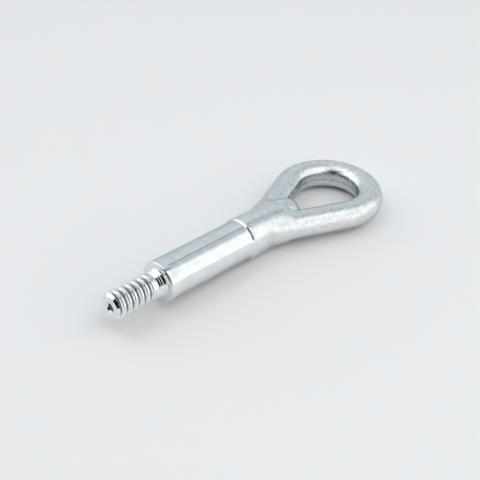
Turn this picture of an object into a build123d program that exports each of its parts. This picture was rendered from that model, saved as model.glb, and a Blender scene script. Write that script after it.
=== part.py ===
# Screw-in tow eye: one forged bar, turned and threaded at one end.
# The axis lies along X, the shoulder seat is at X = 0 and the eye is level, with Z up.
import os
from math import asin, atan, atan2, ceil, cos, degrees, hypot, radians, sin, tan

from build123d import *

# Screw thread, left hand, with flat crests
thread_d = 16.0
thread_pitch = 4.0
thread_depth = 1.9
flank_angle = 23.0
crest_width = 1.1
crest_break = 0.25
run_out_len = 3.0

# Stub that carries the thread, from its centre-drilled end to the undercut at the shoulder
stub_len = 32.7
end_bevel = 1.5
end_bevel_len = 1.6
centre_d = 5.4
centre_angle = 60.0
pilot_d = 2.5
pilot_depth = 5.6
drill_angle = 118.0
collar_len = 4.57
undercut_len = 2.0
undercut_depth = 1.1
undercut_relief = 0.5

# Turned shank and the conical step up to the forging
shank_d = 24.0
shank_len = 60.0
shoulder_break = 0.5
step_height = 0.9
step_len = 1.3
step_round = 0.4

# Forged neck: it slims from the step to the nose, which is rounded off between the legs
neck_len = 14.6
neck_slim = 0.9
nose_shank = 17.1
nose_len = 14.5

# Eye: a round bar bent to a drop, whose legs start level with the sides of the neck
eye_gap = 28.8
bow_r = 25.3
bar_d = 16.5
leg_bend = 20.0
leg_sink = 0.3

# Opening, trimmed upright: sheared above the break line and torn slightly wider below it
bar_trim = 0.85
nose_trim = 1.0
throat_round = 3.0
tear_width = 0.25
tear_depth = 0.7

# Radii
thread_r = thread_d / 2
shank_r = shank_d / 2
neck_r = shank_r + step_height
waist_r = neck_r - neck_slim / 2
nose_r = neck_r - neck_slim
bar_r = bar_d / 2
hole_r = bow_r - bar_r + bar_trim
centre_r = centre_d / 2
pilot_r = pilot_d / 2

# Places along the axis
end_x = -stub_len
run_out_x = -undercut_len - collar_len - run_out_len
neck_x = shank_len + step_len
waist_x = neck_x + neck_len
nose_x = waist_x + nose_shank
tip_x = nose_x + nose_len
throat_x = tip_x - nose_trim
eye_x = tip_x + eye_gap

# Thread groove section and the turns that it needs to clear the end
groove_mouth = thread_pitch - crest_width - 2 * crest_break
groove_floor = groove_mouth - 2 * (thread_depth - crest_break) * tan(radians(flank_angle))
groove_turns = ceil((run_out_x - end_x) / thread_pitch) + 1
run_out_angle = degrees(atan((thread_depth + 2 * crest_break) / run_out_len))

# Each leg bends away from the neck and runs straight into the bow
root_y = waist_r - leg_sink - bar_r
leg_span = eye_x - waist_x
leg_rise = root_y + leg_bend
leg_lean = asin((leg_bend + bow_r) / hypot(leg_span, leg_rise)) - atan2(leg_rise, leg_span)
leg_x = waist_x + leg_bend * sin(leg_lean)
leg_y = root_y + leg_bend * (1 - cos(leg_lean))
bend_x = eye_x - bow_r * sin(leg_lean)
bend_y = bow_r * cos(leg_lean)

# The sides of the opening run along the legs
side_x = eye_x - hole_r * sin(leg_lean)
side_y = hole_r * cos(leg_lean)
throat_y = side_y - (side_x - throat_x) * tan(leg_lean)


def groove_plane(x):
    """Plane of the groove section above the axis at x, with its own X pointing outwards."""
    return Plane((x, 0, thread_r), x_dir=(0, 0, 1), z_dir=(0, 1, 0))


with BuildSketch() as groove:
    with BuildLine():
        Polyline(
            (crest_break, groove_mouth / 2 + 2 * crest_break),
            (-crest_break, groove_mouth / 2),
            (-thread_depth, groove_floor / 2),
            (-thread_depth, -groove_floor / 2),
            (-crest_break, -groove_mouth / 2),
            (crest_break, -groove_mouth / 2 - 2 * crest_break),
            close=True,
        )
    make_face()

with BuildPart() as tow_eye:
    # The bar from the thread end to the nose is one turned outline
    with BuildSketch(Plane.XZ) as outline:
        with BuildLine():
            Polyline(
                (tip_x, 0),
                (end_x + pilot_depth + pilot_r / tan(radians(drill_angle / 2)), 0),
                (end_x + pilot_depth, pilot_r),
                (end_x + (centre_r - pilot_r) / tan(radians(centre_angle / 2)), pilot_r),
                (end_x, centre_r),
                (end_x, thread_r - end_bevel),
                (end_x + end_bevel_len, thread_r),
                (-undercut_len, thread_r),
                (-undercut_len, thread_r - undercut_depth),
                (0, thread_r - undercut_depth),
                (0, shank_r),
                (shank_len, shank_r),
                (neck_x, neck_r),
            )
            TangentArc((neck_x, neck_r), (waist_x, waist_r), tangent=(1, 0))
            Line((waist_x, waist_r), (nose_x, nose_r))
            EllipticalCenterArc((nose_x, 0), nose_len, nose_r, start_angle=0, arc_size=90)
        make_face()
        seat_corners = outline.vertices().filter_by_position(Axis.X, -0.01, 0.01).sort_by(Axis.Y)
        step_corner = outline.vertices().filter_by_position(Axis.X, neck_x - 0.01, neck_x + 0.01)
        chamfer(seat_corners[0], undercut_relief)
        chamfer(seat_corners[-1], shoulder_break)
        fillet(step_corner, step_round)
    revolve(axis=Axis.X)

    # The legs are swept out of the neck
    for side in (1, -1):
        with BuildLine() as leg_line:
            TangentArc((waist_x, side * root_y), (leg_x, side * leg_y), tangent=(1, 0))
            Line((leg_x, side * leg_y), (bend_x, side * bend_y))
        with BuildSketch(Plane((waist_x, side * root_y, 0), x_dir=(0, 0, 1), z_dir=(1, 0, 0))):
            Circle(bar_r)
        sweep(path=leg_line.line)

    # The bow joins their ends
    leg_dir = (cos(leg_lean), sin(leg_lean), 0)
    with BuildSketch(Plane((bend_x, bend_y, 0), x_dir=(0, 0, 1), z_dir=leg_dir)):
        Circle(bar_r)
    revolve(axis=Axis((eye_x, 0, 0), (0, 0, -1)), revolution_arc=180 + 2 * degrees(leg_lean))

    # The opening is trimmed straight through, in two levels
    with BuildSketch() as opening:
        with BuildLine():
            Polyline(
                (side_x, -side_y),
                (throat_x, -throat_y),
                (throat_x, throat_y),
                (side_x, side_y),
            )
            ThreePointArc((side_x, side_y), (eye_x + hole_r, 0), (side_x, -side_y))
        make_face()
        fillet(opening.vertices().group_by(Axis.X)[0], throat_round)
    extrude(amount=neck_r, both=True, mode=Mode.SUBTRACT)
    with BuildSketch(Plane.XY.offset(-tear_depth)):
        offset(opening.sketch, amount=tear_width)
    extrude(amount=-neck_r, mode=Mode.SUBTRACT)

    # The thread is cut one turn at a time, from beyond the end to the run-out
    for turn in range(groove_turns):
        turn_x = run_out_x - (groove_turns - turn) * thread_pitch
        with BuildLine() as turn_line:
            Helix(thread_pitch, thread_pitch, thread_r, (turn_x, 0, 0), (1, 0, 0), lefthand=True)
        with BuildSketch(groove_plane(turn_x)):
            add(groove.sketch)
        sweep(path=turn_line.line, is_frenet=True, mode=Mode.SUBTRACT)

    # The groove then rises out of the bar along a cone and leaves the plain collar
    with BuildLine() as run_out_line:
        Helix(thread_pitch, run_out_len, thread_r, (run_out_x, 0, 0), (1, 0, 0), run_out_angle, True)
    with BuildSketch(groove_plane(run_out_x)):
        add(groove.sketch)
    sweep(path=run_out_line.line, is_frenet=True, mode=Mode.SUBTRACT)

tow_eye.part.label = "tow_eye"
os.makedirs("parts", exist_ok=True)
export_step(tow_eye.part, "parts/tow_eye.step")
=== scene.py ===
"""Looks of a zinc-plated screw-in tow eye, lying on a pale studio floor."""

import logging
import math
from dataclasses import dataclass, field
from enum import Enum

import bmesh
import bpy
import numpy as np
from mathutils import Matrix, Vector


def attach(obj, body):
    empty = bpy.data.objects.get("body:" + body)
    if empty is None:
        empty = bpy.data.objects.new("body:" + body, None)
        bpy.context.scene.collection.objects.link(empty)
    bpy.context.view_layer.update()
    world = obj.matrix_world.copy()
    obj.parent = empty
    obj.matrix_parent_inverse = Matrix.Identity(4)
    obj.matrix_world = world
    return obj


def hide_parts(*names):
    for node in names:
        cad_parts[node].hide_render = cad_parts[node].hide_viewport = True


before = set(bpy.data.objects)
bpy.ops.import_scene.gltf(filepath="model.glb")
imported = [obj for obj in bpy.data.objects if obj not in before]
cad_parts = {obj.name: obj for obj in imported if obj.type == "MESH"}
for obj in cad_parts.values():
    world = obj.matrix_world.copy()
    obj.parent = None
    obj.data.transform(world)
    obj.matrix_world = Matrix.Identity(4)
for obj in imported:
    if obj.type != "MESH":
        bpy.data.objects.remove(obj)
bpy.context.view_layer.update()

LOG = logging.getLogger("tow_eye")
MM = 0.001

Array = np.ndarray
Socket = bpy.types.NodeSocket
Point = tuple[float, float]
Triple = tuple[float, float, float]
Colour = tuple[float, float, float, float]


class Hand(Enum):
    """Way that a screw thread winds, as the sign of its turn about +X."""

    LEFT = 1.0
    RIGHT = -1.0


class Ease(Enum):
    """Way that a ramp runs between its ends, by Blender's name."""

    SMOOTH = "SMOOTHSTEP"
    STRAIGHT = "LINEAR"


def eased(share: Array) -> Array:
    """Smooth share for an even one, both from nought to one."""
    return share * share * (3.0 - 2.0 * share)


class NodeSheet:
    """Short way to add and wire nodes in one node tree."""

    def __init__(self, tree: bpy.types.NodeTree) -> None:
        """Clears the node tree that the sheet fills."""
        self.tree = tree
        tree.nodes.clear()

    def node(self, kind: str, **settings: object) -> bpy.types.Node:
        """Adds a node.

        Args:
            kind: Blender's type name of the node.
            settings: Attributes that are set on it.

        Returns:
            The new node.
        """
        made = self.tree.nodes.new(kind)
        for key, value in settings.items():
            setattr(made, key, value)
        return made

    def wire(self, source: object, target: Socket) -> None:
        """Links two sockets, or sets a plain value on the target.

        Args:
            source: Output socket or value.
            target: Input socket.
        """
        if isinstance(source, Socket):
            self.tree.links.new(source, target)
        else:
            target.default_value = source

    def math(self, operation: str, *terms: object) -> Socket:
        """Adds a Math node.

        Args:
            operation: Blender's name of the operation.
            terms: Sockets or numbers, one for each input.

        Returns:
            Its result.
        """
        made = self.node("ShaderNodeMath", operation=operation)
        for index, term in enumerate(terms):
            self.wire(term, made.inputs[index])
        return made.outputs[0]

    def hypot(self, first: Socket, second: Socket) -> Socket:
        """Adds the diagonal of two values that stand square to each other."""
        square = self.math("MULTIPLY", second, second)
        return self.math("SQRT", self.math("MULTIPLY_ADD", first, first, square))

    def split(self, vector: Socket) -> list[Socket]:
        """Splits a vector.

        Args:
            vector: Socket of the vector.

        Returns:
            Its x, y and z.
        """
        made = self.node("ShaderNodeSeparateXYZ")
        self.wire(vector, made.inputs[0])
        return list(made.outputs)

    def ramp(self, value: Socket, low: object, high: object, start: object = 0.0,
             end: object = 1.0, ease: Ease = Ease.SMOOTH) -> Socket:
        """Maps a value from one range to another and stops at both ends.

        Args:
            value: Socket that is mapped.
            low: Start of the range that is read.
            high: End of the range that is read.
            start: Result at low.
            end: Result at high.
            ease: Way that the result runs between them.

        Returns:
            The mapped value.
        """
        made = self.node("ShaderNodeMapRange", interpolation_type=ease.value)
        for index, term in enumerate((value, low, high, start, end)):
            self.wire(term, made.inputs[index])
        return made.outputs[0]

    def mix(self, factor: Socket, first: object, second: object) -> Socket:
        """Mixes two colours, by the Mix node's sockets for colour.

        Args:
            factor: Share of the second colour.
            first: Socket or colour.
            second: Socket or colour.

        Returns:
            The mixed colour.
        """
        made = self.node("ShaderNodeMix", data_type="RGBA")
        for index, term in ((0, factor), (6, first), (7, second)):
            self.wire(term, made.inputs[index])
        return made.outputs[2]

    def noise(self, place: Socket, scale: float, octaves: float, fineness: float) -> Socket:
        """Adds a noise texture.

        Args:
            place: Coordinates that it reads.
            scale: Number of its waves in a metre.
            octaves: Number of finer waves on top.
            fineness: Strength of each finer wave against the one before it.

        Returns:
            Its level, about a half on average.
        """
        made = self.node("ShaderNodeTexNoise")
        for name, term in (("Vector", place), ("Scale", scale), ("Detail", octaves),
                           ("Roughness", fineness)):
            self.wire(term, made.inputs[name])
        return made.outputs[0]

    def bump(self, height: Socket, depth: float, strength: object,
             under: Socket | None = None) -> Socket:
        """Adds a bump.

        Args:
            height: Level of the surface.
            depth: Depth in metres that one level stands for.
            strength: Share of the bump that shows.
            under: Bump that this one lies on.

        Returns:
            The bent normal.
        """
        made = self.node("ShaderNodeBump")
        for name, term in (("Strength", strength), ("Distance", depth), ("Height", height)):
            self.wire(term, made.inputs[name])
        if under is not None:
            self.wire(under, made.inputs["Normal"])
        return made.outputs[0]


@dataclass(frozen=True)
class PlatedFinish:
    """Bright zinc plating over one kind of steel surface. Lengths in metres.

    Attributes:
        name: Name of the material.
        dark: Colour of its darker clouds.
        light: Colour of its lighter clouds.
        rim: Brightness of its reflections at a grazing angle.
        smoothest: Roughness where it shines most.
        roughest: Roughness where it shines least.
        grain: Waves of the grain in a metre, along each axis.
        grain_depth: Depth of the grain.
        cloud: Waves of the clouds in a metre.
        cloud_depth: Depth of the swell that goes with the clouds.
        pits: Strength of the dark specks in the grain.
        octaves: Number of finer waves in the grain.
        break_z: Height of the break between the sheared and torn wall, drawn in painted shade.
        groove: Radii at which painted shade in the groove is full and at which it ends.
        calm: Places along the axis between which the grain grows to its full strength.
    """

    name: str
    dark: Colour
    light: Colour
    rim: float
    smoothest: float
    roughest: float
    grain: Triple
    grain_depth: float
    cloud: float
    cloud_depth: float
    pits: float = 0.0
    octaves: float = 3.0
    break_z: float | None = None
    groove: Point | None = None
    calm: Point | None = None

    def material(self) -> bpy.types.Material:
        """Builds the plating as a material on Object coordinates.

        Returns:
            The finished material.
        """
        made = bpy.data.materials.new(self.name)
        made.use_nodes = True
        sheet = NodeSheet(made.node_tree)
        place = sheet.node("ShaderNodeTexCoord").outputs["Object"]
        stretch = sheet.node("ShaderNodeMapping")
        stretch.inputs["Scale"].default_value = self.grain
        sheet.wire(place, stretch.inputs["Vector"])
        grain = sheet.noise(stretch.outputs[0], 1.0, self.octaves, fineness=0.6)
        cloud = sheet.noise(place, self.cloud, octaves=2.0, fineness=0.5)
        coarse = self.coarseness(sheet, place)
        shader = sheet.node("ShaderNodeBsdfPrincipled")
        shader.inputs["Metallic"].default_value = 1.0
        shader.inputs["Specular Tint"].default_value = (self.rim, self.rim, self.rim, 1.0)
        colour = self.colour(sheet, place, grain, cloud, coarse)
        sheet.wire(colour, shader.inputs["Base Color"])
        sheet.wire(self.roughness(sheet, grain, cloud, coarse), shader.inputs["Roughness"])
        swell = sheet.bump(cloud, self.cloud_depth, 1.0)
        skin = sheet.bump(grain, self.grain_depth, coarse, swell)
        sheet.wire(skin, shader.inputs["Normal"])
        out = sheet.node("ShaderNodeOutputMaterial")
        sheet.wire(shader.outputs[0], out.inputs["Surface"])
        return made

    def coarseness(self, sheet: NodeSheet, place: Socket) -> Socket | float:
        """Strength of the grain along the axis.

        Args:
            sheet: Sheet of the material.
            place: Object coordinates.

        Returns:
            Share of the full grain.
        """
        if self.calm is None:
            return 1.0
        calmest = 0.3
        return sheet.ramp(sheet.split(place)[0], *self.calm, calmest, 1.0)

    def colour(self, sheet: NodeSheet, place: Socket, grain: Socket, cloud: Socket,
               coarse: Socket | float) -> Socket:
        """Colour of the plating: its pits, and painted shade at the break and in the groove.

        Args:
            sheet: Sheet of the material.
            place: Object coordinates.
            grain: Level of the grain.
            cloud: Level of the clouds.
            coarse: Strength of the grain.

        Returns:
            The colour.
        """
        darkest, lightest = 0.32, 0.68
        made = sheet.mix(sheet.ramp(cloud, darkest, lightest), self.dark, self.light)
        if self.pits > 0.0:
            brink, floor = 0.46, 0.32
            pit_colour: Colour = (0.30, 0.32, 0.33, 1.0)
            speck = sheet.ramp(grain, brink, floor, 0.0, self.pits)
            made = sheet.mix(sheet.math("MULTIPLY", speck, coarse), made, pit_colour)
        if self.break_z is not None:
            made = self.paint_break_shade(sheet, place, cloud, made)
        if self.groove is not None:
            made = self.paint_groove_shade(sheet, place, made)
        return made

    def roughness(self, sheet: NodeSheet, grain: Socket, cloud: Socket,
                  coarse: Socket | float) -> Socket:
        """Roughness of the plating, which is less where the grain is calm.

        Args:
            sheet: Sheet of the material.
            grain: Level of the grain.
            cloud: Level of the clouds.
            coarse: Strength of the grain.

        Returns:
            The roughness.
        """
        of_grain, of_cloud, of_calm = 0.6, 0.4, 0.5
        lowest, highest = 0.35, 0.65
        clouds = sheet.math("MULTIPLY", cloud, of_cloud)
        wear = sheet.math("MULTIPLY_ADD", grain, of_grain, clouds)
        rough = sheet.ramp(wear, lowest, highest, self.smoothest, self.roughest)
        less = sheet.math("MULTIPLY_ADD", coarse, 1.0 - of_calm, of_calm)
        return sheet.math("MULTIPLY", rough, less)

    def paint_groove_shade(self, sheet: NodeSheet, place: Socket, colour: Socket) -> Socket:
        """Paints shade on the plating towards the bottom of the thread's groove.

        Args:
            sheet: Sheet of the material.
            place: Object coordinates.
            colour: Colour of the crest.

        Returns:
            Colour with painted shade by the distance from the axis, without the end face.
        """
        # Painted shade: darker towards the floor of the groove, where the crests shade it
        painted_groove_shade_colour: Colour = (0.18, 0.19, 0.19, 1.0)
        end_face, first_turn = -0.0322, -0.0318
        floor, bright = self.groove
        x, y, z = sheet.split(place)
        deep = sheet.ramp(sheet.hypot(y, z), bright, floor)
        cut = sheet.math("MULTIPLY", deep, sheet.ramp(x, end_face, first_turn))
        return sheet.mix(cut, colour, painted_groove_shade_colour)

    def paint_break_shade(self, sheet: NodeSheet, place: Socket, cloud: Socket,
                   colour: Socket) -> Socket:
        """Paints a line of shade where the sheared wall overhangs the torn one.

        Args:
            sheet: Sheet of the material.
            place: Object coordinates.
            cloud: Noise that makes the line wander.
            colour: Colour without the line.

        Returns:
            Colour with the painted line of shade, and lighter below it.
        """
        # Painted shade: a dark line under the overhang at the break, and lighter below it
        painted_break_shade_colour: Colour = (0.16, 0.17, 0.18, 1.0)
        wander, edge, core = 0.0008, 0.0003, 0.0001
        above = sheet.math("ADD", sheet.split(place)[2], wander / 2 - self.break_z)
        height = sheet.math("MULTIPLY_ADD", cloud, -wander, above)
        torn = sheet.mix(sheet.ramp(height, 0.0, -edge), colour, self.light)
        line = sheet.ramp(sheet.math("ABSOLUTE", height), edge, core)
        return sheet.mix(line, torn, painted_break_shade_colour)


TURNED = PlatedFinish(
    "zinc_on_turned_steel", dark=(0.80, 0.82, 0.83, 1.0), light=(0.87, 0.89, 0.90, 1.0),
    rim=0.60, smoothest=0.10, roughest=0.15, grain=(5200.0, 240.0, 240.0),
    grain_depth=0.0000012, cloud=160.0, cloud_depth=0.000001)
# The thread's plating has painted shade towards its groove's floor
ROLLED = PlatedFinish(
    "zinc_on_rolled_thread", dark=(0.80, 0.82, 0.83, 1.0), light=(0.90, 0.92, 0.93, 1.0),
    rim=0.80, smoothest=0.03, roughest=0.08, grain=(900.0, 900.0, 900.0),
    grain_depth=0.000002, cloud=400.0, cloud_depth=0.000002, groove=(0.0061, 0.0071))
FORGED = PlatedFinish(
    "zinc_on_forged_steel", dark=(0.79, 0.81, 0.82, 1.0), light=(0.87, 0.89, 0.90, 1.0),
    rim=0.72, smoothest=0.18, roughest=0.27, grain=(1250.0, 1250.0, 1250.0),
    grain_depth=0.00015, cloud=260.0, cloud_depth=0.000005, pits=0.42, octaves=1.0,
    calm=(0.062, 0.090))
# The sheared wall's plating has a painted line of shade at its break
SHEARED = PlatedFinish(
    "zinc_on_sheared_steel", dark=(0.50, 0.53, 0.54, 1.0), light=(0.66, 0.69, 0.70, 1.0),
    rim=0.70, smoothest=0.24, roughest=0.40, grain=(1100.0, 1100.0, 160.0),
    grain_depth=0.00003, cloud=320.0, cloud_depth=0.00001, break_z=-0.00075)


@dataclass
class TurnedEnd:
    """Threaded stub, shoulder and plain shank, turned on a lathe.

    Sizes are in millimetres. Pairs are depth and radius for the centre drilling, length and depth
    for the bevel and the undercut, place and depth for the ring marks, x and radius for the step.
    """

    thread_r: float = 8.0
    pitch: float = 4.0
    depth: float = 1.9
    crest: float = 1.1
    crest_break: float = 0.35
    flank: float = 0.9
    hand: Hand = Hand.LEFT
    thread_phase: float = 0.1425
    stub_len: float = 32.7
    run_out: Point = (-9.57, -6.57)
    bevel: Point = (1.6, 1.5)
    drilling: tuple[Point, ...] = (
        (6.35, 0.0), (5.6, 1.25), (2.51, 1.25), (0.12, 2.63), (0.0, 2.78))
    face_rings: tuple[float, ...] = (4.5, 5.7, 6.0, 6.2, 6.35)
    ring_marks: tuple[Point, ...] = ((-4.97, 0.85), (-3.3, 0.7))
    mark_run: float = 1.5
    undercut: Point = (2.0, 1.1)
    relief: float = 1.3
    shank_r: float = 12.0
    edge_break: float = 0.5
    shank_rings: tuple[float, ...] = (8.0, 20.0, 35.0, 50.0, 59.5)
    step: tuple[Point, Point] = ((60.0, 12.0), (61.1, 12.875))
    ring_step: float = 0.1
    segments: int = 144

    def stub(self) -> list[Point]:
        """Outline of the centre drilling, the end face and the bar that the thread is cut in.

        Returns:
            Points of x and radius, dense along the thread.
        """
        end = -self.stub_len
        length, fall = self.bevel
        rim = self.thread_r - fall
        made = [(end + deep, r) for deep, r in self.drilling]
        made += [(end, r) for r in self.face_rings]
        for i in range(int((self.stub_len + self.run_out[1]) / self.ring_step) + 1):
            x = end + i * self.ring_step
            made.append((x, min(self.thread_r, rim + (x - end) * fall / length)))
        return made

    def ring_mark(self, x: float, deep: float) -> list[Point]:
        """Outline of a ring that the lathe tool left: a steep wall and a long slope.

        Args:
            x: Place of its bottom.
            deep: Its depth.

        Returns:
            Points of x and radius, with the corners eased by a few hundredths.
        """
        top, low = self.thread_r, self.thread_r - deep
        stop = x + deep * self.mark_run
        return [(x - 0.35, top), (x - 0.3, top - 0.02), (x - 0.05, low + 0.03), (x, low),
                (x + 0.06, low + 0.04), (stop - 0.06, top - 0.04), (stop + 0.03, top)]

    def shoulder(self) -> list[Point]:
        """Outline of the undercut, its sloping relief, the shoulder face and the shank.

        Returns:
            Points of x and radius, with the corners eased by a few hundredths.
        """
        lip, root = -self.undercut[0], self.thread_r - self.undercut[1]
        top, rim = self.thread_r, self.shank_r
        back, edge = self.relief, self.edge_break
        made = [(lip - 0.2, top), (lip - 0.06, top - 0.06), (lip, top - 0.2), (lip, root + 0.1),
                (lip + 0.1, root), (-back - 0.05, root), (-back + 0.05, root + 0.05),
                (-0.05, root + back - 0.05), (0.0, root + back + 0.05),
                (0.0, rim - edge - 0.05), (0.05, rim - edge + 0.05),
                (edge - 0.05, rim - 0.05), (edge + 0.06, rim)]
        return made + [(x, rim) for x in self.shank_rings]

    def step_up(self) -> list[Point]:
        """Outline of the conical step, and of the plug behind it inside the forging.

        Returns:
            Points of x and radius, with the corners eased by a few hundredths.
        """
        (foot_x, foot_r), (top_x, top_r) = self.step
        return [(foot_x - 0.06, foot_r), (foot_x + 0.04, foot_r + 0.04),
                (top_x - 0.06, top_r - 0.06), (top_x + 0.02, top_r - 0.01),
                (top_x + 0.1, top_r), (top_x + 0.3, top_r), (top_x + 0.45, top_r - 0.06),
                (top_x + 0.9, top_r - 0.6), (top_x + 0.9, 0.0)]

    def outline(self) -> list[Point]:
        """Points of x and radius from the centre drilling to the plug inside the forging."""
        marks = [point for x, deep in self.ring_marks for point in self.ring_mark(x, deep)]
        return self.stub() + marks + self.shoulder() + self.step_up()

    def blank(self) -> bpy.types.Object:
        """Spins the outline to the plain blank, before its thread is cut.

        Returns:
            Object that holds the blank.
        """
        angles = np.linspace(0.0, 2.0 * math.pi, self.segments, endpoint=False)
        mesh = bmesh.new()
        rings: list[list[bmesh.types.BMVert]] = []
        for x, r in self.outline():
            if r == 0.0:
                spots = [(x * MM, 0.0, 0.0)]
            else:
                spots = [(x * MM, r * MM * math.cos(a), r * MM * math.sin(a)) for a in angles]
            rings.append([mesh.verts.new(spot) for spot in spots])
        for first, second in zip(rings, rings[1:]):
            for i in range(self.segments):
                j = (i + 1) % self.segments
                corners = [first[i % len(first)], first[j % len(first)],
                           second[j % len(second)], second[i % len(second)]]
                mesh.faces.new(list(dict.fromkeys(corners)))
        bmesh.ops.recalc_face_normals(mesh, faces=mesh.faces)
        data = bpy.data.meshes.new("turned_blank")
        mesh.to_mesh(data)
        mesh.free()
        made = bpy.data.objects.new("turned_blank", data)
        bpy.context.scene.collection.objects.link(made)
        return made

    def thread_sizes(self) -> dict[str, float]:
        """Sizes of the thread for the tree that cuts it.

        Returns:
            Sizes in metres, by the names of the tree's inputs.
        """
        return {"Radius": self.thread_r * MM, "Pitch": self.pitch * MM, "Depth": self.depth * MM,
                "Crest": self.crest * MM, "Break": self.crest_break * MM,
                "Flank": self.flank * MM, "Hand": self.hand.value, "Phase": self.thread_phase,
                "Fade start": self.run_out[0] * MM, "Fade end": self.run_out[1] * MM}

    @staticmethod
    def groove_floor(sheet: NodeSheet, given: bpy.types.NodeOutputs, x: Socket,
                     angle: Socket) -> Socket:
        """Radius that the helical groove leaves of the bar.

        Args:
            sheet: Sheet of the tree.
            given: Inputs of the tree.
            x: Places along the axis.
            angle: Angles about the axis.

        Returns:
            The radius, which grows to the full one along the run-out.
        """
        turn = sheet.math("DIVIDE", angle, 2.0 * math.pi)
        along = sheet.math("DIVIDE", x, given["Pitch"])
        wound = sheet.math("MULTIPLY_ADD", turn, given["Hand"], along)
        share = sheet.math("FRACT", sheet.math("ADD", wound, given["Phase"]))
        off = sheet.math("ABSOLUTE", sheet.math("SUBTRACT", share, 0.5))
        off = sheet.math("MULTIPLY", off, given["Pitch"])
        edge = sheet.math("MULTIPLY", given["Crest"], 0.5)
        brow = sheet.math("ADD", edge, given["Break"])
        foot = sheet.math("ADD", brow, given["Flank"])
        wall = sheet.math("SUBTRACT", given["Depth"], given["Break"])
        cut = sheet.math("ADD", sheet.ramp(off, edge, brow, 0.0, given["Break"], Ease.STRAIGHT),
                         sheet.ramp(off, brow, foot, 0.0, wall, Ease.STRAIGHT))
        fade = sheet.ramp(x, given["Fade start"], given["Fade end"], 1.0, 0.0)
        return sheet.math("SUBTRACT", given["Radius"], sheet.math("MULTIPLY", cut, fade))

    def thread_tree(self) -> bpy.types.NodeTree:
        """Geometry Nodes tree that cuts the helical groove into the blank.

        Returns:
            Tree with one named input for each size of the thread.
        """
        tree = bpy.data.node_groups.new("cut_thread", "GeometryNodeTree")
        inputs = {"Geometry": "NodeSocketGeometry"}
        inputs.update({name: "NodeSocketFloat" for name in self.thread_sizes()})
        inputs.update({name: "NodeSocketMaterial" for name in ("Turned", "Rolled")})
        for name, kind in inputs.items():
            tree.interface.new_socket(name, in_out="INPUT", socket_type=kind)
        tree.interface.new_socket("Geometry", in_out="OUTPUT", socket_type="NodeSocketGeometry")
        sheet = NodeSheet(tree)
        given = sheet.node("NodeGroupInput").outputs
        x, y, z = sheet.split(sheet.node("GeometryNodeInputPosition").outputs[0])
        radius = sheet.hypot(y, z)
        floor = self.groove_floor(sheet, given, x, sheet.math("ARCTAN2", z, y))
        least = 0.001 * MM
        scale = sheet.math("DIVIDE", sheet.math("MINIMUM", radius, floor),
                           sheet.math("MAXIMUM", radius, least))
        on_thread = sheet.math("LESS_THAN", x, given["Fade end"])
        scale = sheet.math("MULTIPLY_ADD", on_thread, sheet.math("SUBTRACT", scale, 1.0), 1.0)
        moved = sheet.node("ShaderNodeCombineXYZ")
        sheet.wire(x, moved.inputs[0])
        sheet.wire(sheet.math("MULTIPLY", y, scale), moved.inputs[1])
        sheet.wire(sheet.math("MULTIPLY", z, scale), moved.inputs[2])
        push = sheet.node("GeometryNodeSetPosition")
        sheet.wire(given["Geometry"], push.inputs["Geometry"])
        sheet.wire(moved.outputs[0], push.inputs["Position"])
        real = sheet.node("GeometryNodeRealizeInstances")
        sheet.wire(push.outputs[0], real.inputs[0])
        paint = sheet.node("GeometryNodeSetMaterial")
        sheet.wire(real.outputs[0], paint.inputs["Geometry"])
        sheet.wire(given["Turned"], paint.inputs["Material"])
        repaint = sheet.node("GeometryNodeSetMaterial")
        sheet.wire(paint.outputs[0], repaint.inputs["Geometry"])
        sheet.wire(sheet.math("LESS_THAN", x, 0.0), repaint.inputs["Selection"])
        sheet.wire(given["Rolled"], repaint.inputs["Material"])
        sheet.wire(repaint.outputs[0], sheet.node("NodeGroupOutput").inputs[0])
        return tree

    def mesh(self, turned: bpy.types.Material, rolled: bpy.types.Material) -> bpy.types.Mesh:
        """Cuts the thread and gives the result as a plain mesh.

        Args:
            turned: Material of the turned steel.
            rolled: Material of the threaded stub.

        Returns:
            Mesh of the whole turned end.
        """
        blank = self.blank()
        cutter = blank.modifiers.new("thread", "NODES")
        cutter.node_group = self.thread_tree()
        inputs = {**self.thread_sizes(), "Turned": turned, "Rolled": rolled}
        for socket in cutter.node_group.interface.items_tree:
            if socket.in_out == "INPUT" and socket.name in inputs:
                cutter[socket.identifier] = inputs[socket.name]
        graph = bpy.context.evaluated_depsgraph_get()
        made = bpy.data.meshes.new_from_object(blank.evaluated_get(graph), depsgraph=graph)
        blank.modifiers.remove(cutter)
        bpy.data.objects.remove(blank)
        return made


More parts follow.
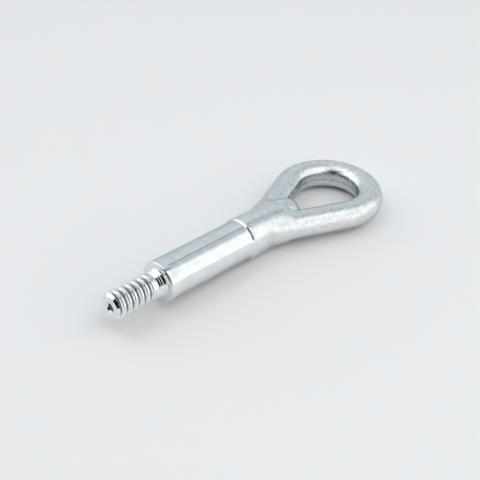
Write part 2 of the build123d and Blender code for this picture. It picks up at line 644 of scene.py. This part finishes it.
@dataclass
class ForgedEye:
    """Forged neck, nose, legs and bow with the trimmed opening.

    Sizes are in millimetres. The waist and the nose are pairs of x and radius, the blends and the
    slimming of the nose run between two places along the axis, and the tear is height and width.
    """

    step_x: float = 60.3
    shank_r: float = 12.0
    step_round: float = 0.35
    overlap: float = 1.5
    neck_r: float = 12.875
    neck_x: float = 61.6
    waist: Point = (75.9, 12.45)
    nose: Point = (93.0, 12.0)
    nose_len: float = 14.5
    nose_power: float = 2.5
    slim_run: Point = (79.0, 97.0)
    slim: float = 0.2
    eye_x: float = 136.3
    bow_r: float = 25.3
    bar_r: float = 8.25
    leg_bend: float = 20.0
    leg_sink: float = 0.7
    blend: float = 8.0
    blend_start: Point = (73.0, 88.0)
    blend_end: Point = (89.0, 99.0)
    crotch_blend: float = 1.2
    trim: float = 0.85
    throat_x: float = 106.5
    throat_round: float = 3.0
    tear: Point = (-0.7, 0.25)
    tear_run: float = 0.4
    edge_round: float = 0.5
    ripple: float = 0.035
    ripple_start: Point = (61.5, 65.5)
    wall_edge: float = 0.45
    wall_start: float = 0.6
    wall_height: float = 6.0
    cell: float = 0.6
    margin: Triple = (2.6, 1.6, 1.6)
    draws: int = 3

    def root_y(self) -> float:
        """Distance of a leg's centre line from the axis where it starts."""
        return self.waist[1] - self.leg_sink - self.bar_r

    def leg_lean(self) -> float:
        """Angle between a straight leg and the axis.

        Returns:
            The angle in radians.
        """
        span, rise = self.eye_x - self.waist[0], self.root_y() + self.leg_bend
        reach = math.asin((self.leg_bend + self.bow_r) / math.hypot(span, rise))
        return reach - math.atan2(rise, span)

    @staticmethod
    def share(x: Array, span: Point, least: float = 0.0) -> Array:
        """Even share of the way along a span of the axis, from the least one up to one."""
        return np.clip((x - span[0]) / (span[1] - span[0]), least, 1.0)

    @staticmethod
    def round_max(first: Array, second: Array, size: float) -> Array:
        """Distance from what two shapes share, with its edge rounded over the size."""
        near = np.maximum(size - np.abs(first - second), 0.0) / size
        return np.maximum(first, second) + near ** 2 * size * 0.25

    def bar_line(self, x: Array, y: Array) -> tuple[Array, Array]:
        """Distance in plan from the bent bar's centre line.

        Args:
            x: Places along the axis.
            y: Places across it.

        Returns:
            Distance from the line, and distance from it counted inwards as positive.
        """
        lean, bend, side = self.leg_lean(), self.leg_bend, np.abs(y)
        from_x, from_y = x - self.waist[0], side - self.root_y() - bend
        turn = np.clip(np.arctan2(from_x, -from_y), 0.0, lean)
        root = np.hypot(from_x - bend * np.sin(turn), from_y + bend * np.cos(turn))
        root_in = np.hypot(from_x, from_y) - bend
        from_x, from_y = from_x - bend * math.sin(lean), from_y + bend * math.cos(lean)
        along = from_x * math.cos(lean) + from_y * math.sin(lean)
        off = from_x * math.sin(lean) - from_y * math.cos(lean)
        span, rise = self.eye_x - self.waist[0], self.root_y() + bend
        length = math.sqrt(span ** 2 + rise ** 2 - (bend + self.bow_r) ** 2)
        leg = np.hypot(along - np.clip(along, 0.0, length), off)
        bow = np.hypot(x - self.eye_x, side) - self.bow_r
        line = np.where(along > length, np.abs(bow), np.where(along > 0.0, leg, root))
        inward = np.where(along > length, -bow, np.where(along > 0.0, off, root_in))
        return line, inward

    def neck(self, x: Array, rho: Array) -> Array:
        """Distance from the neck, which ends in a rounded nose.

        Args:
            x: Places along the axis.
            rho: Distances from the axis.

        Returns:
            Distance from the surface, negative inside.
        """
        tiny = 1e-9
        flattest = 1e-6
        waist_x, waist_r = self.waist
        nose_x, nose_r = self.nose
        fall = self.share(x, (self.neck_x, waist_x))
        run = self.share(x, (waist_x, nose_x))
        radius = self.neck_r - (self.neck_r - waist_r) * fall ** 2
        radius = radius - (waist_r - nose_r) * (1.0 - (1.0 - run) ** 2)
        # The nose is an ellipse of a higher power. Its level over its slope is a distance
        power, less = self.nose_power, self.nose_power - 1.0
        ahead = np.maximum(x - nose_x, 0.0) / self.nose_len
        across = rho / nose_r
        size = np.maximum(ahead ** power + across ** power, tiny) ** (1.0 / power)
        slope = np.hypot(ahead ** less / self.nose_len, across ** less / nose_r)
        nose = size ** less * (size - 1.0) / np.maximum(slope, flattest)
        return np.where(x > nose_x, nose, rho - radius)

    def body(self, x: Array, y: Array, z: Array) -> tuple[Array, Array]:
        """Distance from the forging before its opening is trimmed.

        Args:
            x: Places along the axis.
            y: Places across it.
            z: Heights.

        Returns:
            Distance from the surface, negative inside, and distance inwards of the bar's line.
        """
        line, inward = self.bar_line(x, y)
        slim = 1.0 + self.slim * eased(self.share(x, self.slim_run))
        neck = self.neck(x, np.hypot(y * slim, z))
        bar = np.hypot(line, z) - self.bar_r
        crotch = eased(self.share(x, self.blend_end))
        full = self.blend + (self.crotch_blend - self.blend) * crotch
        reach = full * eased(self.share(x, self.blend_start, least=0.02))
        near = np.maximum(reach - np.abs(neck - bar), 0.0) / reach
        made = np.minimum(neck, bar) - near ** 2 * reach * 0.25
        rise, run = self.neck_r - self.shank_r, self.neck_x - self.step_x
        off_shank = np.hypot(y, z) - self.shank_r
        step = (off_shank * run - (x - self.step_x) * rise) / math.hypot(rise, run)
        made = self.round_max(made, step, self.step_round)
        made = np.maximum(made, self.step_x - self.overlap - x)
        return made - self.ripple * self.waves(x, y, z), inward

    def opening(self, x: Array, z: Array, inward: Array) -> Array:
        """Distance from the opening, which is torn slightly wider below the break line.

        Args:
            x: Places along the axis.
            z: Heights.
            inward: Distances inwards of the bar's centre line.

        Returns:
            Distance from the wall, negative in the opening.
        """
        side, end = self.bar_r - self.trim - inward, self.throat_x - x
        deep = self.throat_round
        corner = np.hypot(np.maximum(side + deep, 0), np.maximum(end + deep, 0))
        hole = np.minimum(np.maximum(side, end), -deep) + corner
        height, width = self.tear
        lower = np.clip((height + self.tear_run / 2 - z) / self.tear_run, 0.0, 1.0)
        return hole - width * lower

    def distance(self, x: Array, y: Array, z: Array) -> Array:
        """Distance from the surface of the finished forging, negative inside."""
        made, inward = self.body(x, y, z)
        return self.round_max(made, -self.opening(x, z, inward), self.edge_round)

    def waves(self, x: Array, y: Array, z: Array) -> Array:
        """Shallow hollows of a forged skin, broad ones and close ones, and none near the step.

        Args:
            x: Places along the axis.
            y: Places across it.
            z: Heights.

        Returns:
            Height of the skin, from about minus one to nought.
        """
        broad = np.sin(0.41 * x + 0.23 * y + 1.3) * np.sin(0.36 * y - 0.52 * z + 0.4)
        close = np.sin(0.93 * x - 0.71 * y + 0.2) * np.sin(0.83 * z + 0.64 * x + 2.1)
        return (0.6 * broad + 0.4 * close - 0.8) * self.share(x, self.ripple_start) * 0.5

    @staticmethod
    def crossing(level: Array, axis: int) -> tuple[Array, Array, Array]:
        """Finds the edges of the grid along one axis that the surface crosses.

        Args:
            level: Distance from the surface at each point of the grid.
            axis: Number of the axis.

        Returns:
            Start of each edge, point on it where it is crossed, and whether it leads outwards.
        """
        first, second = [slice(None)] * 3, [slice(None)] * 3
        first[axis], second[axis] = slice(0, -1), slice(1, None)
        inside = level < 0.0
        start = np.argwhere(inside[tuple(first)] != inside[tuple(second)])
        stop = start.copy()
        stop[:, axis] += 1
        here, there = level[tuple(start.T)], level[tuple(stop.T)]
        point = start.astype(float)
        point[:, axis] += here / (here - there)
        return start, point, here < 0.0

    @staticmethod
    def cells_round(start: Array, axis: int) -> list[tuple[Array, ...]]:
        """Cells of the grid that share an edge, in order round it.

        Args:
            start: Start of each edge.
            axis: Number of the axis that the edges follow.

        Returns:
            Four sets of cell numbers.
        """
        made = []
        for back in ((1, 1), (0, 1), (0, 0), (1, 0)):
            home = start.copy()
            home[:, (axis + 1) % 3] -= back[0]
            home[:, (axis + 2) % 3] -= back[1]
            made.append(tuple(home.T))
        return made

    def skin(self) -> tuple[Array, Array]:
        """Meshes the forging's surface on a grid and draws the points onto it.

        Returns:
            Points in millimetres and the corner numbers of the quads.
        """
        before, beside, above = self.margin
        low = np.array([self.step_x - before, -self.bow_r - self.bar_r - beside,
                        -self.neck_r - above])
        high = np.array([self.eye_x + self.bow_r + self.bar_r + beside, -low[1], -low[2]])
        axes = [np.arange(a, b, self.cell) for a, b in zip(low, high)]
        grid = np.meshgrid(*axes, indexing="ij", sparse=True)
        level = np.broadcast_to(self.distance(*grid), tuple(len(a) for a in axes))
        # Each cell that the surface crosses holds a point, and each crossed edge makes a quad
        crossings = [self.crossing(level, axis) for axis in range(3)]
        hits = np.zeros(tuple(n - 1 for n in level.shape), np.int32)
        total = np.zeros(hits.shape + (3,))
        for axis, (start, point, _) in enumerate(crossings):
            for home in self.cells_round(start, axis):
                np.add.at(total, home, point)
                np.add.at(hits, home, 1)
        used = hits > 0
        number = np.full(hits.shape, -1, np.int64)
        number[used] = np.arange(int(used.sum()))
        quads: list[Array] = []
        for axis, (start, _, outwards) in enumerate(crossings):
            quad = np.stack([number[home] for home in self.cells_round(start, axis)], 1)
            quads.append(np.where(outwards[:, None], quad, quad[:, ::-1]))
        points = low + self.cell * (total[used] / hits[used][:, None])
        for _ in range(self.draws):
            points = self.drawn(points)
        return points, np.concatenate(quads)

    def drawn(self, points: Array) -> Array:
        """Moves points one step onto the surface.

        Args:
            points: Points near the surface.

        Returns:
            The moved points.
        """
        probe, flattest, most = 0.05, 0.2, 0.4
        slopes = [(self.distance(*(points + probe * axis).T)
                   - self.distance(*(points - probe * axis).T)) / (2.0 * probe)
                  for axis in np.eye(3)]
        slope = np.stack(slopes, 1)
        steepness = np.maximum((slope ** 2).sum(1), flattest)
        reach = np.clip(self.distance(*points.T) / steepness, -most, most)
        return points - slope * reach[:, None]

    def mesh(self) -> bpy.types.Mesh:
        """Gives the forging as a mesh, with its trimmed wall as the second material.

        Returns:
            Mesh of the forged eye.
        """
        points, quads = self.skin()
        made = bpy.data.meshes.new("forged_eye")
        made.from_pydata((points * MM).tolist(), [], quads.tolist())
        x, y, z = points[quads].mean(1).T
        _, inward = self.bar_line(x, y)
        wall = np.maximum(self.bar_r - self.trim - inward, self.throat_x - x) < self.wall_edge
        wall &= (np.abs(z) < self.wall_height) & (x > self.throat_x - self.wall_start)
        made.polygons.foreach_set("material_index", wall.astype(np.int32))
        made.update()
        return made


@dataclass
class TowEye:
    """The whole tow eye: one steel piece, turned at one end and forged at the other.

    Edges above the sharp angle stay crisp, and points closer than the weld, in millimetres,
    become one.
    """

    turned: TurnedEnd = field(default_factory=TurnedEnd)
    forged: ForgedEye = field(default_factory=ForgedEye)
    sharp_deg: float = 50.0
    weld: float = 0.001

    def build(self) -> bpy.types.Object:
        """Joins both ends into one piece and dresses it.

        Returns:
            The finished piece.
        """
        lathe_kinds, forge_kinds = (TURNED, ROLLED), (FORGED, SHEARED)
        finishes = [kind.material() for kind in lathe_kinds + forge_kinds]
        turned = self.turned.mesh(*finishes[:len(lathe_kinds)])
        numbers = [finishes.index(one) for one in turned.materials]
        joined = bmesh.new()
        joined.from_mesh(turned)
        for face in joined.faces:
            face.material_index = numbers[face.material_index]
        start = len(joined.faces)
        # Both shells are closed, and the turned one ends in a plug inside the forged one
        joined.from_mesh(self.forged.mesh())
        joined.faces.ensure_lookup_table()
        for face in joined.faces[start:]:
            face.material_index += len(lathe_kinds)
        bmesh.ops.remove_doubles(joined, verts=joined.verts, dist=self.weld * MM)
        for face in joined.faces:
            face.smooth = True
        data = bpy.data.meshes.new("tow_eye_body")
        joined.to_mesh(data)
        joined.free()
        for finish in finishes:
            data.materials.append(finish)
        data.set_sharp_from_angle(angle=math.radians(self.sharp_deg))
        made = bpy.data.objects.new("tow_eye_body", data)
        bpy.context.scene.collection.objects.link(made)
        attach(made, "root")
        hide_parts("tow_eye")
        return made


@dataclass(frozen=True)
class Seam:
    """Dark joint between two panels of the studio sky, which runs along X.

    Attributes:
        middle: The x and y of the direction of its middle.
        reach: Half its length, in the direction's x.
        gain: Share of the light that it adds, or takes where it is negative.
    """

    middle: Point
    reach: float
    gain: float


@dataclass(frozen=True)
class Spot:
    """Round area of the studio sky that is darker or brighter than the rest.

    Attributes:
        side: Direction of its middle.
        core: Cosine of the angle up to which it is full.
        rim: Cosine of the angle at which it ends.
        gain: Share of the light that it adds, or takes where it is negative.
    """

    side: Triple
    core: float
    rim: float
    gain: float


@dataclass(frozen=True)
class Lamp:
    """Soft round lamp, with its place and width in metres and its power in watts."""

    name: str
    place: Triple
    size: float
    power: float


@dataclass
class Studio:
    """Pale floor, soft light and camera.

    The edges of the sky's panels are pairs of the direction's x or y, from nothing to the full
    panel. The camera's angles are in degrees, its lens and sensor in millimetres, and its shift
    in widths of the picture.
    """

    heel: Vector = field(default_factory=lambda: Vector((61.3, 0.0, -12.9)) * MM)
    toe: Vector = field(default_factory=lambda: Vector((161.6, 0.0, -8.27)) * MM)
    floor_half: float = 4.0
    floor_colour: Colour = (0.88, 0.875, 0.88, 1.0)
    floor_rough: float = 0.7
    floor_gloss: float = 0.15
    backdrop: Colour = (0.82, 0.835, 0.855, 1.0)
    ceiling: float = 0.73
    ceiling_tint: Colour = (0.88, 0.98, 1.03, 1.0)
    wall_tint: Colour = (1.0, 1.0, 1.0, 1.0)
    front_edge: Point = (-0.16, -0.46)
    front_gain: float = 0.43
    gap_far: Point = (0.12, 0.0)
    gap_near: Point = (-0.32, -0.16)
    gap_loss: float = 0.10
    window_side: Point = (0.15, -0.15)
    window_edge: Point = (-0.15, -0.02)
    window_gain: float = 0.5
    seam_edge: Point = (0.07, 0.02)
    seam_fade: float = 0.1
    seams: tuple[Seam, ...] = (
        Seam((0.55, 0.125), 0.25, -0.55), Seam((0.2, -0.2), 0.2, -0.85))
    spots: tuple[Spot, ...] = (
        Spot((-0.730, -0.300, 0.614), 0.935, 0.880, -0.97),
        Spot((-0.740, -0.610, 0.283), 0.935, 0.880, -0.97),
        Spot((-0.942, 0.304, 0.152), 0.950, 0.910, -0.97),
        Spot((-0.070, -0.420, 0.905), 0.985, 0.950, 0.60),
        Spot((0.200, -0.680, 0.705), 0.970, 0.900, -0.13))
    lamps: tuple[Lamp, ...] = (
        Lamp("key", (-0.25, 0.30, 0.90), 0.6, 0.5), Lamp("fill", (0.15, -0.50, 0.90), 0.8, 1.2))
    target: Vector = field(default_factory=lambda: Vector((60.0, 0.0, 0.0)) * MM)
    azimuth: float = -46.05
    elevation: float = 34.22
    roll: float = 2.58
    distance: float = 0.5779
    lens: float = 76.53
    sensor: float = 36.0
    shift: Point = (0.00317, 0.00102)
    clip: Point = (0.01, 50.0)

    def up(self) -> Vector:
        """Direction square to the floor that the tow eye lies on."""
        run = self.toe - self.heel
        return Vector((-run.z, 0.0, run.x)).normalized()

    def floor(self) -> bpy.types.Object:
        """Lays the floor under the neck and the bow.

        Returns:
            The floor.
        """
        up = self.up()
        along = Vector((up.z, 0.0, -up.x)) * self.floor_half
        across = Vector((0.0, 1.0, 0.0)) * self.floor_half
        corners = [self.heel + along * a + across * b
                   for a, b in ((-1, -1), (1, -1), (1, 1), (-1, 1))]
        data = bpy.data.meshes.new("floor")
        data.from_pydata(corners, [], [(0, 1, 2, 3)])
        made = bpy.data.objects.new("floor", data)
        bpy.context.scene.collection.objects.link(made)
        finish = bpy.data.materials.new("pale_floor")
        finish.use_nodes = True
        shader = finish.node_tree.nodes["Principled BSDF"]
        shader.inputs["Base Color"].default_value = self.floor_colour
        shader.inputs["Roughness"].default_value = self.floor_rough
        shader.inputs["Specular IOR Level"].default_value = self.floor_gloss
        data.materials.append(finish)
        return made

    def seam_shade(self, sheet: NodeSheet, seam: Seam, x: Socket, y: Socket) -> Socket:
        """Strength of one seam of the sky.

        Args:
            sheet: Sheet of the sky.
            seam: The seam.
            x: The direction's x.
            y: The direction's y.

        Returns:
            One on the seam and nought beside it.
        """
        along, across = seam.middle
        beside = sheet.math("ABSOLUTE", sheet.math("SUBTRACT", y, across))
        off = sheet.math("ABSOLUTE", sheet.math("SUBTRACT", x, along))
        return sheet.math("MULTIPLY", sheet.ramp(beside, *self.seam_edge),
                          sheet.ramp(off, seam.reach, seam.reach - self.seam_fade))

    @staticmethod
    def spot_shade(sheet: NodeSheet, spot: Spot, toward: Socket) -> Socket:
        """Strength of one spot of the sky.

        Args:
            sheet: Sheet of the sky.
            spot: The spot.
            toward: Direction that is looked in.

        Returns:
            One in the spot and nought outside it.
        """
        near = sheet.node("ShaderNodeVectorMath", operation="DOT_PRODUCT")
        sheet.wire(toward, near.inputs[0])
        near.inputs[1].default_value = spot.side
        return sheet.ramp(near.outputs["Value"], spot.rim, spot.core)

    def sky(self) -> None:
        """Surrounds the scene with a white front wall, a window, a grey ceiling and dark areas."""
        world = bpy.data.worlds.new("studio")
        bpy.context.scene.world = world
        world.use_nodes = True
        sheet = NodeSheet(world.node_tree)
        toward = sheet.node("ShaderNodeTexCoord").outputs["Generated"]
        x, y, _ = sheet.split(toward)
        front = sheet.ramp(y, *self.front_edge)
        gap = sheet.math("MULTIPLY", sheet.ramp(y, *self.gap_far), sheet.ramp(y, *self.gap_near))
        window = sheet.math("MULTIPLY", sheet.ramp(x, *self.window_side),
                            sheet.ramp(y, *self.window_edge))
        level = sheet.math("MULTIPLY_ADD", front, self.front_gain, self.ceiling)
        level = sheet.math("SUBTRACT", level, sheet.math("MULTIPLY", gap, self.gap_loss))
        for seam in self.seams:
            shade = self.seam_shade(sheet, seam, x, y)
            gain = sheet.math("MULTIPLY_ADD", shade, seam.gain, 1.0)
            level = sheet.math("MULTIPLY", level, gain)
        level = sheet.math("MULTIPLY_ADD", window, self.window_gain, level)
        for spot in self.spots:
            shade = self.spot_shade(sheet, spot, toward)
            gain = sheet.math("MULTIPLY_ADD", shade, spot.gain, 1.0)
            level = sheet.math("MULTIPLY", level, gain)
        white = sheet.math("MAXIMUM", front, window)
        light = sheet.node("ShaderNodeBackground")
        sheet.wire(sheet.mix(white, self.ceiling_tint, self.wall_tint), light.inputs["Color"])
        sheet.wire(level, light.inputs["Strength"])
        # The camera itself sees a plain backdrop
        plain = sheet.node("ShaderNodeBackground")
        plain.inputs["Color"].default_value = self.backdrop
        plain.inputs["Strength"].default_value = 1.0
        seen = sheet.node("ShaderNodeMixShader")
        sheet.wire(sheet.node("ShaderNodeLightPath").outputs["Is Camera Ray"], seen.inputs[0])
        sheet.wire(light.outputs[0], seen.inputs[1])
        sheet.wire(plain.outputs[0], seen.inputs[2])
        out = sheet.node("ShaderNodeOutputWorld")
        sheet.wire(seen.outputs[0], out.inputs["Surface"])

    def hang(self, lamp: Lamp) -> bpy.types.Object:
        """Hangs one soft lamp that points at the tow eye and isn't mirrored in it.

        Args:
            lamp: The lamp's sizes.

        Returns:
            The lamp.
        """
        data = bpy.data.lights.new(lamp.name, "AREA")
        data.shape = "DISK"
        data.size = lamp.size
        data.energy = lamp.power
        made = bpy.data.objects.new(lamp.name, data)
        made.location = lamp.place
        facing = self.target - Vector(lamp.place)
        made.rotation_euler = facing.to_track_quat("-Z", "Y").to_euler()
        made.visible_glossy = False
        bpy.context.scene.collection.objects.link(made)
        return made

    def camera(self) -> bpy.types.Object:
        """Sets the camera at the photograph's place.

        Returns:
            The camera.
        """
        a, e, r = (math.radians(v) for v in (self.azimuth, self.elevation, self.roll))
        back = Vector((math.sin(a) * math.cos(e), -math.cos(a) * math.cos(e), math.sin(e)))
        right = Vector((math.cos(a), math.sin(a), 0.0))
        up = back.cross(right)
        tilted_right = right * math.cos(r) + up * math.sin(r)
        tilted_up = up * math.cos(r) - right * math.sin(r)
        data = bpy.data.cameras.new("camera")
        data.sensor_width = self.sensor
        data.sensor_fit = "HORIZONTAL"
        data.lens = self.lens
        data.shift_x, data.shift_y = self.shift
        data.clip_start, data.clip_end = self.clip
        made = bpy.data.objects.new("camera", data)
        turned = Matrix((tilted_right, tilted_up, back)).transposed().to_4x4()
        made.matrix_world = Matrix.Translation(self.target + back * self.distance) @ turned
        bpy.context.scene.collection.objects.link(made)
        bpy.context.scene.camera = made
        return made

    def build(self) -> bpy.types.Object:
        """Builds the camera, floor and light.

        Returns:
            The floor.
        """
        self.camera()
        made = self.floor()
        self.sky()
        for lamp in self.lamps:
            self.hang(lamp)
        bpy.context.scene.view_settings.view_transform = "Standard"
        return made


def main() -> None:
    """Builds the studio and the tow eye."""
    logging.basicConfig(level=logging.INFO, format="%(name)s: %(message)s")
    for maker in (Studio(), TowEye()):
        made = maker.build()
        LOG.info("%s has %d faces", made.name, len(made.data.polygons))


if __name__ == "__main__":
    main()
